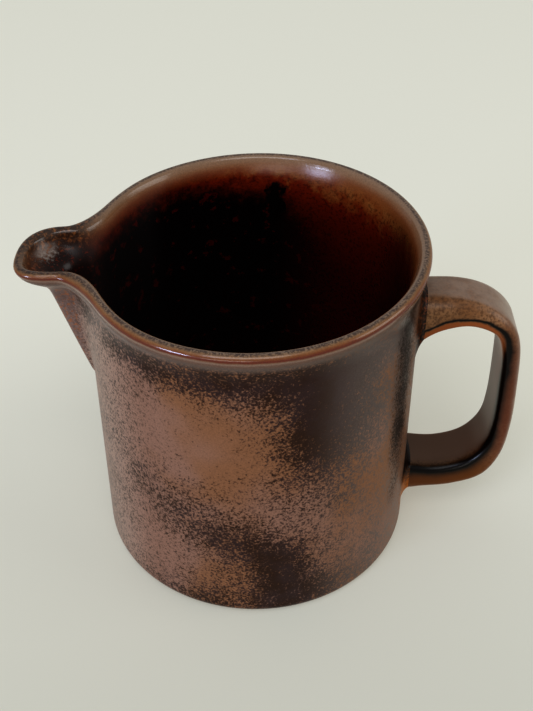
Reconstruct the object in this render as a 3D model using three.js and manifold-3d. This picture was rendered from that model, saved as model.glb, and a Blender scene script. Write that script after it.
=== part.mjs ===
// Stoneware pouring jug: a straight-sided body, a beak luted over a notch in its wall, and a strap handle
// bedded on the wall with two slip fillets. Millimetres, +Z up, handle towards +X, beak towards -X.
// The origin is the middle of the whole jug's footprint, on the surface that it stands on.
import * as THREE from 'three';
import { mergeVertices } from 'three/addons/utils/BufferGeometryUtils.js';
import Module from 'manifold-3d';

const wasm = await Module();
wasm.setup();

// ---- Driving dimensions -------------------------------------------------------------------------

const GAP = 0.3; // clearance between neighbouring pieces
const AXIS_X = -5.9; // where the body's own axis stands in the frame

const HEIGHT = 99.7; // foot to lip, on the axis
const RIM_TILT = 0.0219; // the lip rises towards the handle by this slope
const WALL_RADIUS = 46;
const WALL_THICKNESS = 3.6;
const LIP_RADIUS = 48; // outermost reach of the lip
const LIP_ROUND = 1.95; // half the thickness of the rounded lip
const FLARE_DEPTH = 11; // the wall turns outwards over this much height
const BASE_ROUND = 3;
const FLOOR_TOP = 7;
const FLOOR_ROUND = 9;
const FOOT_INNER_RADIUS = 35;
const FOOT_RECESS = 1.8;
const LATHE_STEPS = 72;

const SPOUT_HEADING = THREE.MathUtils.degToRad(180.4); // 180 would be straight opposite the handle
const SPOUT_WALL = 3;
const SPOUT_DEPTH = 45.9; // lip to the lowest point of the keel
const SPOUT_ROOT_ANGLE = THREE.MathUtils.degToRad(29); // half the angle that the beak's root spans
const SPOUT_NECK_HALF_WIDTH = 12;
const SPOUT_SKEW = 3.5; // the hand-pulled tip leans this far towards -Y
const SPOUT_BLUNT_LEANING_SIDE = 0.86; // 0.55 would be a round end, 1 a square one
const SPOUT_BLUNT_OTHER_SIDE = 0.64;
const KEEL_SLOPE = 0.264; // how fast the keel leans out
const SPOUT_FLARE = 6.2; // extra reach of the beak's lip
const SPOUT_FLARE_MIDDLE = 5.5;
const SPOUT_FLARE_SOFTNESS = 1.1;

const HANDLE_WIDTH = 16;
const HANDLE_EDGE_DEPTH = 1.9; // the strap's edges are rounded by this much through its thickness
const HANDLE_EDGE_WIDTH = 4.4; // and by this much across its width
const JOINT_SPREAD = 3.2; // how far the slip fillets spread around the strap
const JOINT_RISE = 1.6; // and how far they stand out from the wall

// ---- Solids -------------------------------------------------------------------------------------

function toSolid(geometry) {
  const bare = geometry.clone();
  bare.deleteAttribute('normal');
  bare.deleteAttribute('uv');
  const merged = mergeVertices(bare, 1e-4);
  const corners = merged.index.array;
  const kept = [];
  for (let i = 0; i < corners.length; i += 3) {
    const [a, b, c] = corners.slice(i, i + 3);
    if (a !== b && b !== c && c !== a) kept.push(a, b, c);
  }
  return new wasm.Manifold(new wasm.Mesh({
    numProp: 3,
    vertProperties: new Float32Array(merged.attributes.position.array),
    triVerts: new Uint32Array(kept),
  }));
}

function toGeometry(solid) {
  const { vertProperties, triVerts } = solid.getMesh();
  const geometry = new THREE.BufferGeometry();
  geometry.setAttribute('position', new THREE.BufferAttribute(vertProperties, 3));
  geometry.setIndex(new THREE.BufferAttribute(triVerts, 1));
  geometry.computeVertexNormals();
  return geometry;
}

// Leans everything above the foot so that the lip rises towards the handle.
function tilted(geometry) {
  const position = geometry.attributes.position;
  for (let i = 0; i < position.count; i += 1) {
    const share = position.getZ(i) / HEIGHT;
    position.setZ(i, position.getZ(i) + RIM_TILT * position.getX(i) * share);
  }
  geometry.computeVertexNormals();
  return geometry;
}

function turned(profile) {
  const geometry = new THREE.LatheGeometry(profile, LATHE_STEPS);
  geometry.rotateX(Math.PI / 2);
  return toSolid(geometry);
}

function drum(radius, bottom, top) {
  const profile = [[0, bottom], [radius, bottom], [radius, top], [0, top]];
  return turned(profile.map(([r, z]) => new THREE.Vector2(r, z)));
}

// Joins closed outlines of equal length, stacked upwards, into one capped solid, turned about the axis.
function loft(outlines, turn) {
  const size = outlines[0].length;
  const points = outlines.flat();
  const triangles = [];
  for (let level = 0; level + 1 < outlines.length; level += 1) {
    for (let i = 0; i < size; i += 1) {
      const a = level * size + i;
      const b = level * size + ((i + 1) % size);
      triangles.push(a, b, b + size, a, b + size, a + size);
    }
  }
  const flat = (outline) => outline.map((p) => new THREE.Vector2(p.x, p.y));
  const last = (outlines.length - 1) * size;
  for (const [a, b, c] of THREE.ShapeUtils.triangulateShape(flat(outlines[0]), [])) {
    triangles.push(c, b, a);
  }
  for (const [a, b, c] of THREE.ShapeUtils.triangulateShape(flat(outlines.at(-1)), [])) {
    triangles.push(last + a, last + b, last + c);
  }
  const geometry = new THREE.BufferGeometry().setFromPoints(points);
  geometry.setIndex(triangles);
  geometry.rotateZ(turn);
  return toSolid(geometry);
}

// ---- Body ---------------------------------------------------------------------------------------

function bodyProfile() {
  const lipRadius = LIP_RADIUS - LIP_ROUND;
  const lipHeight = HEIGHT - LIP_ROUND;
  const inside = WALL_RADIUS - WALL_THICKNESS;
  const flareStart = HEIGHT - FLARE_DEPTH;
  const path = new THREE.Path();
  path.moveTo(0, FOOT_RECESS);
  path.lineTo(FOOT_INNER_RADIUS - FOOT_RECESS, FOOT_RECESS);
  path.lineTo(FOOT_INNER_RADIUS, 0);
  path.lineTo(WALL_RADIUS - BASE_ROUND, 0);
  path.absarc(WALL_RADIUS - BASE_ROUND, BASE_ROUND, BASE_ROUND, -Math.PI / 2, 0, false);
  path.lineTo(WALL_RADIUS, flareStart);
  path.bezierCurveTo(WALL_RADIUS, flareStart + 4.5, LIP_RADIUS, lipHeight - 3.5, LIP_RADIUS, lipHeight);
  path.absarc(lipRadius, lipHeight, LIP_ROUND, 0, Math.PI, false);
  path.bezierCurveTo(lipRadius - LIP_ROUND, lipHeight - 4, inside, flareStart + 4, inside, flareStart - 2);
  path.lineTo(inside, FLOOR_TOP + FLOOR_ROUND);
  path.absarc(inside - FLOOR_ROUND, FLOOR_TOP + FLOOR_ROUND, FLOOR_ROUND, 0, -Math.PI / 2, true);
  path.lineTo(0, FLOOR_TOP);
  return path.getPoints(6);
}

// ---- Beak ---------------------------------------------------------------------------------------

// How far the beak's tip stands from the body's axis, at a depth below the lip.
function spoutReach(depth) {
  const keel = WALL_RADIUS + KEEL_SLOPE * (SPOUT_DEPTH - depth);
  const flare = SPOUT_FLARE / (1 + Math.exp((depth - SPOUT_FLARE_MIDDLE) / SPOUT_FLARE_SOFTNESS));
  return keel + flare;
}

// Half the angle that the beak's root spans on the wall, at a depth below the lip.
function spoutRootAngle(depth) {
  const share = Math.min(1, Math.max(0, (SPOUT_DEPTH - depth) / (SPOUT_DEPTH - 6)));
  return SPOUT_ROOT_ANGLE * share ** 0.65;
}

// One side of the beak's plan outline, from its root on the wall to its tip.
function spoutSide(depth, inset, side) {
  const lipReach = spoutReach(0) - WALL_RADIUS;
  const share = (spoutReach(depth) - WALL_RADIUS) / lipReach;
  const tip = spoutReach(depth) - inset;
  const skew = SPOUT_SKEW * share;
  const angle = Math.max(0.02, spoutRootAngle(depth) - inset / WALL_RADIUS);
  const rootRadius = WALL_RADIUS - 1;
  const rootX = rootRadius * Math.cos(angle);
  const rootWidth = rootRadius * Math.sin(angle);
  const neckX = WALL_RADIUS + 0.3 * (tip - WALL_RADIUS) + 0.5;
  const neckWidth = Math.min((SPOUT_NECK_HALF_WIDTH - inset) * share ** 0.65, 0.7 * rootWidth);
  const lean = 0.35 * (1 - share);
  const reach = tip - neckX;
  const across = side * neckWidth - skew;
  const blunt = side > 0 ? SPOUT_BLUNT_LEANING_SIDE : SPOUT_BLUNT_OTHER_SIDE;
  const path = new THREE.Path();
  path.moveTo(rootX, side * rootWidth);
  path.bezierCurveTo(
    rootX + rootWidth * 0.4 * Math.sin(angle), side * rootWidth * (1 - 0.4 * Math.cos(angle)),
    neckX - reach * 0.25, side * (neckWidth + lean * reach * 0.25),
    neckX, side * neckWidth,
  );
  path.bezierCurveTo(
    neckX + reach * 0.66, side * neckWidth * (1 - lean * 0.6),
    tip, skew + across * blunt,
    tip, skew,
  );
  return path.getPoints(9);
}

// The whole plan outline at one depth, closed inside the body.
function spoutOutline(depth, inset, height) {
  const right = spoutSide(depth, inset, 1);
  const left = spoutSide(depth, inset, -1);
  const backX = WALL_RADIUS - 10;
  const back = [new THREE.Vector2(backX, left[0].y), new THREE.Vector2(backX, right[0].y)];
  const outline = [...right, ...left.reverse().slice(1), ...back].reverse();
  return outline.map((p) => new THREE.Vector3(p.x, p.y, height));
}

// How far the rounded lip falls back from its side at a depth below its top.
function lipFallback(depth, round) {
  const rise = Math.max(0, round - depth);
  return round - Math.sqrt(round * round - rise * rise);
}

const LIP_DEPTHS = [0, 0.4, 1, 1.65];
const BEAK_DEPTHS = [2.8, 4, 5, 6, 7, 8.5, 11, 15, 20, 25, 30, 35, 40, 45];
const CHANNEL_END = 34;

function beakSolid(grow) {
  const round = SPOUT_WALL / 2;
  const levels = [...LIP_DEPTHS, ...BEAK_DEPTHS].reverse();
  const outlines = levels.map((depth) => {
    const inset = grow > 0 ? 0 : lipFallback(depth, round);
    return spoutOutline(depth, inset - grow, HEIGHT - depth);
  });
  if (grow > 0) outlines.push(spoutOutline(0, -grow, HEIGHT + 2));
  return loft(outlines, SPOUT_HEADING);
}

function channelSolid() {
  const round = SPOUT_WALL / 2;
  const deeper = BEAK_DEPTHS.filter((depth) => depth < CHANNEL_END);
  const levels = [...LIP_DEPTHS, ...deeper].reverse();
  const outlines = levels.map((depth) => {
    const inset = SPOUT_WALL - lipFallback(depth, round);
    return spoutOutline(depth, inset, HEIGHT - depth);
  });
  outlines.push(spoutOutline(0, SPOUT_WALL - round, HEIGHT + 2));
  return loft(outlines, SPOUT_HEADING);
}

// ---- Handle -------------------------------------------------------------------------------------

const HANDLE_OUTSIDE = [
  [40, 84.6], [57, 83.4], [65.5, 80.7], [72, 75.2], [75.2, 67.5], [76.3, 52], [76.5, 38], [75, 25.5],
  [70.2, 16.4], [61, 12.6], [40, 11.4],
];
const HANDLE_INSIDE = [
  [40, 24.5], [47.5, 21.2], [56, 20.5], [64.2, 23.2], [69.7, 29.5], [71.5, 38], [71.6, 52], [70.5, 65],
  [67.3, 72.2], [60, 75.5], [53, 74.4], [47.6, 70.8], [40, 61],
];

const toVectors = (pairs) => pairs.map(([x, z]) => new THREE.Vector2(x, z));

function handleSolid(grow) {
  const outline = new THREE.Shape([
    ...new THREE.SplineCurve(toVectors(HANDLE_OUTSIDE)).getPoints(30),
    ...new THREE.SplineCurve(toVectors(HANDLE_INSIDE)).getPoints(30),
  ]);
  const geometry = new THREE.ExtrudeGeometry(outline, {
    depth: HANDLE_WIDTH - 2 * HANDLE_EDGE_WIDTH,
    bevelThickness: HANDLE_EDGE_WIDTH + grow,
    bevelSize: HANDLE_EDGE_DEPTH,
    bevelOffset: grow - HANDLE_EDGE_DEPTH,
    bevelSegments: 4,
  });
  geometry.translate(0, 0, HANDLE_EDGE_WIDTH - HANDLE_WIDTH / 2);
  geometry.rotateX(Math.PI / 2);
  return toSolid(geometry);
}

// ---- Slip fillets -------------------------------------------------------------------------------

// A block round the strap's root that slopes from the wall to the strap.
function jointBlock(bottom, top) {
  const halfWidth = HANDLE_WIDTH / 2 + JOINT_SPREAD;
  const corner = JOINT_SPREAD + HANDLE_EDGE_DEPTH;
  const low = bottom - JOINT_SPREAD;
  const high = top + JOINT_SPREAD;
  const outline = new THREE.Shape();
  outline.moveTo(halfWidth, high - corner);
  outline.absarc(halfWidth - corner, high - corner, corner, 0, Math.PI / 2, false);
  outline.absarc(corner - halfWidth, high - corner, corner, Math.PI / 2, Math.PI, false);
  outline.absarc(corner - halfWidth, low + corner, corner, Math.PI, 1.5 * Math.PI, false);
  outline.absarc(halfWidth - corner, low + corner, corner, 1.5 * Math.PI, 2 * Math.PI, false);
  const slope = JOINT_SPREAD - 2 * GAP;
  const geometry = new THREE.ExtrudeGeometry(outline, {
    depth: WALL_RADIUS,
    bevelThickness: JOINT_RISE,
    bevelSize: slope,
    bevelOffset: -slope,
    bevelSegments: 1,
    curveSegments: 5,
  });
  geometry.rotateX(Math.PI / 2);
  geometry.rotateZ(Math.PI / 2);
  return toSolid(geometry);
}

// ---- Assembly -----------------------------------------------------------------------------------

const darkGlaze = { color: 0x5b4133, roughness: 0.32, metalness: 0 };
const spoutGlaze = { color: 0x624c44, roughness: 0.3, metalness: 0 };
const handleGlaze = { color: 0x6e5340, roughness: 0.35, metalness: 0 };
const pooledGlaze = { color: 0x7a4a1e, roughness: 0.2, metalness: 0 };

function piece(name, geometry, finish) {
  const mesh = new THREE.Mesh(geometry, new THREE.MeshStandardMaterial(finish));
  mesh.name = name;
  return mesh;
}

const clearOfWall = drum(WALL_RADIUS + GAP, -5, HEIGHT + 5);
const wallCore = drum(WALL_RADIUS, -5, HEIGHT + 5);
const channel = channelSolid();
const clearOfStrap = handleSolid(GAP);

const body = turned(bodyProfile())
  .subtract(channel)
  .subtract(beakSolid(GAP).subtract(wallCore));
const spout = beakSolid(0).subtract(channel).subtract(clearOfWall);
const strap = handleSolid(0).subtract(clearOfWall);
const upperJoint = jointBlock(70.5, 84.4).subtract(clearOfStrap).subtract(clearOfWall);
const lowerJoint = jointBlock(11.6, 21).subtract(clearOfStrap).subtract(clearOfWall);

const jug = new THREE.Group();
jug.position.x = AXIS_X;
jug.add(
  piece('jug_body', tilted(toGeometry(body)), darkGlaze),
  piece('pouring_spout', tilted(toGeometry(spout)), spoutGlaze),
  piece('handle', toGeometry(strap), handleGlaze),
  piece('upper_handle_joint', toGeometry(upperJoint), pooledGlaze),
  piece('lower_handle_joint', toGeometry(lowerJoint), pooledGlaze),
);

export default jug;
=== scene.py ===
import math

import bpy
import numpy as np
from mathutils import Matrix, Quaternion, Vector


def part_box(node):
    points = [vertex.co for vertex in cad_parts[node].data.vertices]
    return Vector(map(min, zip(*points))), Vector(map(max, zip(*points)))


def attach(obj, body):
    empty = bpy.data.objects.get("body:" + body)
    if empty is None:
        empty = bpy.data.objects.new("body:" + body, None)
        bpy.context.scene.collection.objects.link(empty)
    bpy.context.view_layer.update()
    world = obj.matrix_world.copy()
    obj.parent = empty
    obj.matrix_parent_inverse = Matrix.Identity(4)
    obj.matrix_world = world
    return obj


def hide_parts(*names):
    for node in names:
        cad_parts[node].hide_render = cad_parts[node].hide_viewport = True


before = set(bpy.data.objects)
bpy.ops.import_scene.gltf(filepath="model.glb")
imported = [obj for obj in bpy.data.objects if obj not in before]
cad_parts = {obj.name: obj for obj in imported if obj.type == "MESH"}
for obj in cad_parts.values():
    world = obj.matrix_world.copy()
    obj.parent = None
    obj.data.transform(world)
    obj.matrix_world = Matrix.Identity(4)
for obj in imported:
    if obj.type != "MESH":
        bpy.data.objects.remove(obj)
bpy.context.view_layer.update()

# Shapes are worked out in millimetres in the CAD frame, and written to Blender in metres. The glazes
# read places in metres.
MM = 0.001

# ---- Driving dimensions ---------------------------------------------------------------------------

# Body and beak are the CAD model's, but for a slightly slimmer lip.
CAD_LIP_RADIUS = 48.0
_, body_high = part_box("jug_body")
AXIS_X = body_high[0] / MM - CAD_LIP_RADIUS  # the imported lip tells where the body's axis stands
HEIGHT = 99.7
RIM_TILT = 0.0219  # the lip rises towards the handle by this slope
WALL_RADIUS = 46.0
WALL_THICKNESS = 3.6
INNER_RADIUS = WALL_RADIUS - WALL_THICKNESS
LIP_RADIUS = 47.85
LIP_ROUND = 1.6
LIP_TURN = math.radians(155)  # the lip's rounding stops here, and the inside flare takes over
LIP_END_DEPTH = LIP_ROUND * (1 - math.sin(LIP_TURN))
LIP_END_INSET = LIP_ROUND * (1 - math.cos(LIP_TURN))
FLARE_DEPTH = 11.0
INSIDE_FLARE_DEPTH = 13.0
FLOOR_TOP = 7.0
FLOOR_ROUND = 9.0
BASE_ROUND = 3.0
FOOT_INNER_RADIUS = 35.0
FOOT_RECESS = 1.8

SPOUT_HEADING = math.radians(180.4)
SPOUT_LIP_ROUND = 1.4
SPOUT_DEPTH = 45.9
SPOUT_END = 47.0  # below this depth the beak has run out into the wall
SPOUT_RUN_OUT = 6.0  # and over this much height above it, it grows out of the wall
SPOUT_ROOT_ANGLE = math.radians(29)
SPOUT_LEAST_ANGLE = math.radians(6)
SPOUT_INNER_LEAST_ANGLE = math.radians(3)
SPOUT_FULL_WIDTH_DEPTH = 6.0
SPOUT_NARROWING = 0.65  # the power by which the beak narrows towards its lowest point
SPOUT_NECK_HALF_WIDTH = 12.0
SPOUT_NECK_SHARE = 0.3  # the neck stands this far along the beak
SPOUT_NECK_LEAN = 0.35  # how much the sides still close in at the neck, low on the beak
SPOUT_SKEW = 3.5
SPOUT_BLUNT_LEANING_SIDE = 0.86
SPOUT_BLUNT_OTHER_SIDE = 0.64
SPOUT_HOLLOW = 0.7  # the body's lip draws in by this much beside the beak's root
SPOUT_HOLLOW_REACH = math.radians(15)
KEEL_SLOPE = 0.264
SPOUT_FLARE = 6.2
SPOUT_FLARE_MIDDLE = 5.5
SPOUT_FLARE_SOFTNESS = 1.1

# How far the beak's side curve runs straight on: from the root, as a share of its half width there,
# and before the neck and past it, as shares of the length from neck to tip.
ROOT_PULL = 0.4
NECK_PULL = 0.25
TIP_PULL = 0.66

# The strap's outer and inner line, as distances from the body's axis and heights. They run down the
# middle of its outer and inner faces. The strap and its joints are a little fuller than the CAD's.
HANDLE_WIDTH = 16.0
HANDLE_OUTSIDE = [
    (43.6, 85.0), (57, 84.1), (65.5, 81.2), (72, 75.4), (75.2, 67.5), (76.3, 52), (76.5, 38), (75, 25.5),
    (70.2, 16.2), (61, 12.2), (51, 11.0), (43.6, 9.8),
]
HANDLE_INSIDE = [
    (43.6, 66), (47.6, 71.2), (53, 74.4), (60, 75.5), (67.3, 72.2), (70.3, 65), (71.0, 52), (70.9, 38),
    (69.3, 29.5), (64.2, 23.2), (56, 20.5), (47.5, 21.2), (43.6, 22.8),
]

# How far the strap's corners are rounded, across its width and through its thickness. The broad round
# of the top arm gives way to the grip's between two shares of the strap's length.
TOP_OUTER_CORNER = np.array([7.0, 4.2])
OUTER_CORNER = np.array([4.6, 2.7])
INNER_CORNER = np.array([2.6, 2.0])
BACK_INNER_CORNER = np.array([1.2, 1.0])
CORNER_LIMIT = 0.46  # no corner takes more than this share of the thickness
TOP_ARM_END = 0.2
GRIP_START = 0.45

JOINT_ROWS = 24  # the joints follow this many of the strap's rows
JOINT_RISE = 2.6
UPPER_JOINT_SPREAD = 4.5
LOWER_JOINT_SPREAD = 4.0
JOINT_SINK = 0.8  # a joint's hidden back lies this deep in wall and strap

# How finely the curved surfaces are divided.
BEAK_HALF_COLUMNS = 30
BODY_COLUMNS = 200
HANDLE_ROWS = 120
CORNER_POINTS = 11
FAN_RADIUS = 6.0  # inside this radius a fan of triangles closes the foot and the floor

# ---- Camera ---------------------------------------------------------------------------------------

CAMERA_PLACE = (AXIS_X, -259.9, HEIGHT + 180.9)
CAMERA_FORWARD = (0.01005, 0.76245, -0.64697)
CAMERA_ROLL = math.radians(-0.19)


def make_camera():
    data = bpy.data.cameras.new("camera")
    data.sensor_width = 36.0
    data.lens = 59.5
    data.clip_end = 20.0
    camera = bpy.data.objects.new("camera", data)
    bpy.context.scene.collection.objects.link(camera)
    roll = Quaternion((0.0, 0.0, 1.0), CAMERA_ROLL)
    camera.rotation_mode = "QUATERNION"
    camera.rotation_quaternion = Vector(CAMERA_FORWARD).to_track_quat("-Z", "Y") @ roll
    camera.location = Vector(CAMERA_PLACE) * MM
    bpy.context.scene.camera = camera


make_camera()


# ---- Helpers --------------------------------------------------------------------------------------

def smooth(value):
    value = np.clip(value, 0.0, 1.0)
    return value * value * (3.0 - 2.0 * value)


def mix(a, b, share):
    return a + (b - a) * share


def bezier(points, t):
    a, b, c, d = points
    r = 1.0 - t
    return a * r**3 + 3 * b * r * r * t + 3 * c * r * t * t + d * t**3


def face_normals(points, faces):
    """Each face's normal, as long as twice its area."""
    total = np.zeros((len(faces), 3))
    for i, face in enumerate(faces):
        corner = points[list(face)]
        total[i] = np.cross(corner[2] - corner[0], corner[-1] - corner[1])
    return total


def unit(vectors):
    return vectors / np.maximum(np.linalg.norm(vectors, axis=1, keepdims=True), 1e-12)


def vertex_normals(points, faces):
    total = np.zeros_like(points)
    for normal, face in zip(face_normals(points, faces), faces):
        for index in face:
            total[index] += normal
    return unit(total)


def make_object(name, points, faces, attributes=None, normals=None, flat_from=None):
    """A mesh object in metres. Faces from flat_from on are hidden cuts, shaded flat."""
    used = np.unique(np.concatenate([np.array(face) for face in faces]))
    renumber = np.full(len(points), -1)
    renumber[used] = np.arange(len(used))
    mesh = bpy.data.meshes.new(name)
    mesh.from_pydata((points[used] * MM).tolist(), [], [renumber[list(face)].tolist() for face in faces])
    mesh.polygons.foreach_set("use_smooth", [True] * len(faces))
    for label, values in (attributes or {}).items():
        layer = mesh.attributes.new(label, "FLOAT", "POINT")
        layer.data.foreach_set("value", values[used].astype(np.float32))
    if normals is not None:
        flat = unit(face_normals(points, faces))
        corner_normals = []
        for index, face in enumerate(faces):
            hidden = flat_from is not None and index >= flat_from
            for corner in face:
                corner_normals.append(flat[index] if hidden else normals[corner])
        mesh.normals_split_custom_set([tuple(normal) for normal in corner_normals])
    mesh.update()
    piece = bpy.data.objects.new(name, mesh)
    bpy.context.scene.collection.objects.link(piece)
    return piece


def turned_round(faces):
    return [tuple(reversed(face)) for face in faces]


# ---- Body and beak: one surface, cut into two closed pieces ---------------------------------------

def spout_reach(depth):
    """How far the beak's keel stands from the body's axis."""
    keel = WALL_RADIUS + KEEL_SLOPE * (SPOUT_DEPTH - depth)
    flare = SPOUT_FLARE / (1.0 + np.exp((depth - SPOUT_FLARE_MIDDLE) / SPOUT_FLARE_SOFTNESS))
    return keel + flare


def root_angle(depth):
    """Half the angle that the beak's root spans on the wall."""
    share = np.clip((SPOUT_DEPTH - depth) / (SPOUT_DEPTH - SPOUT_FULL_WIDTH_DEPTH), 0.0, 1.0)
    return np.maximum(SPOUT_ROOT_ANGLE * share**SPOUT_NARROWING, SPOUT_LEAST_ANGLE)


def inset_root_angle(depth, inset):
    return np.maximum(root_angle(depth) - inset / WALL_RADIUS, SPOUT_INNER_LEAST_ANGLE)


def beak_plan(depth, inset, circle, along, side):
    """A point of the beak's plan outline, from its root (along = 0) to its tip (along = 1)."""
    reach = spout_reach(depth)
    share = np.clip((reach - WALL_RADIUS) / (spout_reach(0.0) - WALL_RADIUS), 0.0, 1.0)
    tip = reach - inset
    skew = SPOUT_SKEW * share
    angle = inset_root_angle(depth, inset)
    root_u, root_v = circle * np.cos(angle), circle * np.sin(angle)
    neck_u = circle + SPOUT_NECK_SHARE * (tip - circle) + 0.5 * share
    neck_v = np.minimum((SPOUT_NECK_HALF_WIDTH - inset) * share**SPOUT_NARROWING, 0.7 * root_v)
    lean = SPOUT_NECK_LEAN * (1.0 - share)
    before_neck = NECK_PULL * (tip - neck_u)
    past_neck = TIP_PULL * (tip - neck_u)

    half_way = np.clip(along * 2.0, 0.0, 1.0)
    from_root_u = root_u + ROOT_PULL * root_v * np.sin(angle)
    from_root_v = root_v - ROOT_PULL * root_v * np.cos(angle)
    first_u = bezier((root_u, from_root_u, neck_u - before_neck, neck_u), half_way)
    first_v = bezier((root_v, from_root_v, neck_v + lean * before_neck, neck_v), half_way)

    to_tip = np.clip(along * 2.0 - 1.0, 0.0, 1.0)
    blunt = np.where(side > 0, SPOUT_BLUNT_LEANING_SIDE, SPOUT_BLUNT_OTHER_SIDE)
    from_neck_v = side * (neck_v - lean * past_neck)
    to_tip_v = skew + (side * neck_v - skew) * blunt
    second_u = bezier((neck_u, neck_u + past_neck, tip, tip), to_tip)
    second_v = bezier((side * neck_v, from_neck_v, to_tip_v, skew), to_tip)

    u = np.where(along < 0.5, first_u, second_u)
    v = np.where(along < 0.5, side * first_v, second_v)
    arc = angle * (1.0 - along)
    grown = smooth((SPOUT_END - depth) / SPOUT_RUN_OUT)
    return mix(circle * np.cos(arc), u, grown), mix(side * circle * np.sin(arc), v, grown)


def outer_circle(depth):
    t = np.clip((FLARE_DEPTH - depth) / (FLARE_DEPTH - LIP_ROUND), 0.0, 1.0)
    return mix(WALL_RADIUS, LIP_RADIUS, smooth(t) * 0.6 + t**2 * 0.4)


def inner_circle(depth):
    """The inside flare leaves the lip's rounding at the slope where it stops."""
    drop = INSIDE_FLARE_DEPTH - LIP_END_DEPTH
    spread = LIP_RADIUS - LIP_END_INSET - INNER_RADIUS
    slope = math.tan(math.pi - LIP_TURN)
    t = np.clip((INSIDE_FLARE_DEPTH - depth) / drop, 0.0, 1.0)
    return INNER_RADIUS + spread * t ** (slope * drop / spread)


def profile_rows():
    """The body's section from the middle of the foot to the middle of the floor.

    Each row is (circle radius, depth below the lip, inset from the outside, lip angle or None). The
    beak interrupts the rows from first to last."""
    rows = []

    def add(radius, depth, inset=0.0, lip_angle=None):
        rows.append((radius, depth, inset, lip_angle))

    for radius in np.linspace(FAN_RADIUS, FOOT_INNER_RADIUS - FOOT_RECESS, 6):
        add(radius, HEIGHT - FOOT_RECESS)
    for share in (0.35, 0.7, 0.92):
        rise = FOOT_RECESS * (1 - share)
        add(FOOT_INNER_RADIUS - rise, HEIGHT - rise)
    for radius in np.linspace(FOOT_INNER_RADIUS + 0.5, WALL_RADIUS - BASE_ROUND, 5):
        add(radius, HEIGHT)
    for angle in np.linspace(0.0, math.pi / 2, 9)[1:]:
        radius = WALL_RADIUS - BASE_ROUND * (1 - math.sin(angle))
        add(radius, HEIGHT - BASE_ROUND * (1 - math.cos(angle)))
    for depth in np.linspace(HEIGHT - BASE_ROUND - 2.0, SPOUT_END + 2.0, 18):
        add(WALL_RADIUS, depth)

    first = len(rows)
    low_depths = np.linspace(SPOUT_END, FLARE_DEPTH, 32)
    outer_depths = np.concatenate([low_depths, np.linspace(FLARE_DEPTH, LIP_ROUND, 21)[1:-1]])
    inner_depths = np.concatenate([low_depths, np.linspace(FLARE_DEPTH, LIP_END_DEPTH, 22)[1:-1]])
    for depth in outer_depths:
        add(outer_circle(depth), depth)
    for angle in np.linspace(0.0, LIP_TURN, 25):
        radius = LIP_RADIUS - LIP_ROUND * (1 - math.cos(angle))
        add(radius, LIP_ROUND * (1 - math.sin(angle)), 0.0, angle)
    for depth in inner_depths[::-1]:
        add(inner_circle(depth), depth, mix(LIP_END_INSET, WALL_THICKNESS, smooth(depth / 12.0)))
    last = len(rows) - 1

    corner = HEIGHT - FLOOR_TOP - FLOOR_ROUND
    for depth in np.linspace(SPOUT_END + 2.0, corner, 14):
        add(INNER_RADIUS, depth, WALL_THICKNESS)
    for angle in np.linspace(0.0, math.pi / 2, 11)[1:]:
        radius = INNER_RADIUS - FLOOR_ROUND * (1 - math.cos(angle))
        add(radius, corner + FLOOR_ROUND * math.sin(angle), WALL_THICKNESS)
    for radius in np.linspace(INNER_RADIUS - FLOOR_ROUND - 4.0, FAN_RADIUS, 7):
        add(radius, HEIGHT - FLOOR_TOP, WALL_THICKNESS)
    return rows, first, last


def lip_distance(depth, inset, lip_angle):
    """Millimetres across the lip from its crown: less than nothing outside, and more inside."""
    crown = math.pi / 2
    if lip_angle is not None:
        return LIP_ROUND * (lip_angle - crown)
    if inset:
        return LIP_ROUND * (LIP_TURN - crown) - LIP_END_DEPTH + depth
    return LIP_ROUND - LIP_ROUND * crown - depth


def beak_row(depth, inset, lip_angle, along):
    """A row's depth and inset in the beak, where the lip grows thinner than the body's."""
    share = smooth(along * 1.6)
    if lip_angle is not None:
        round_here = mix(LIP_ROUND, SPOUT_LIP_ROUND, share)
        return round_here * (1 - math.sin(lip_angle)), round_here * (1 - math.cos(lip_angle))
    thinner = (LIP_ROUND - SPOUT_LIP_ROUND) * smooth((10.0 - depth) / 8.0) * share
    beak_inset = np.full_like(along, inset)
    if inset:
        beak_inset -= thinner * (1 - math.cos(LIP_TURN))
    return depth - thinner, beak_inset


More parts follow.
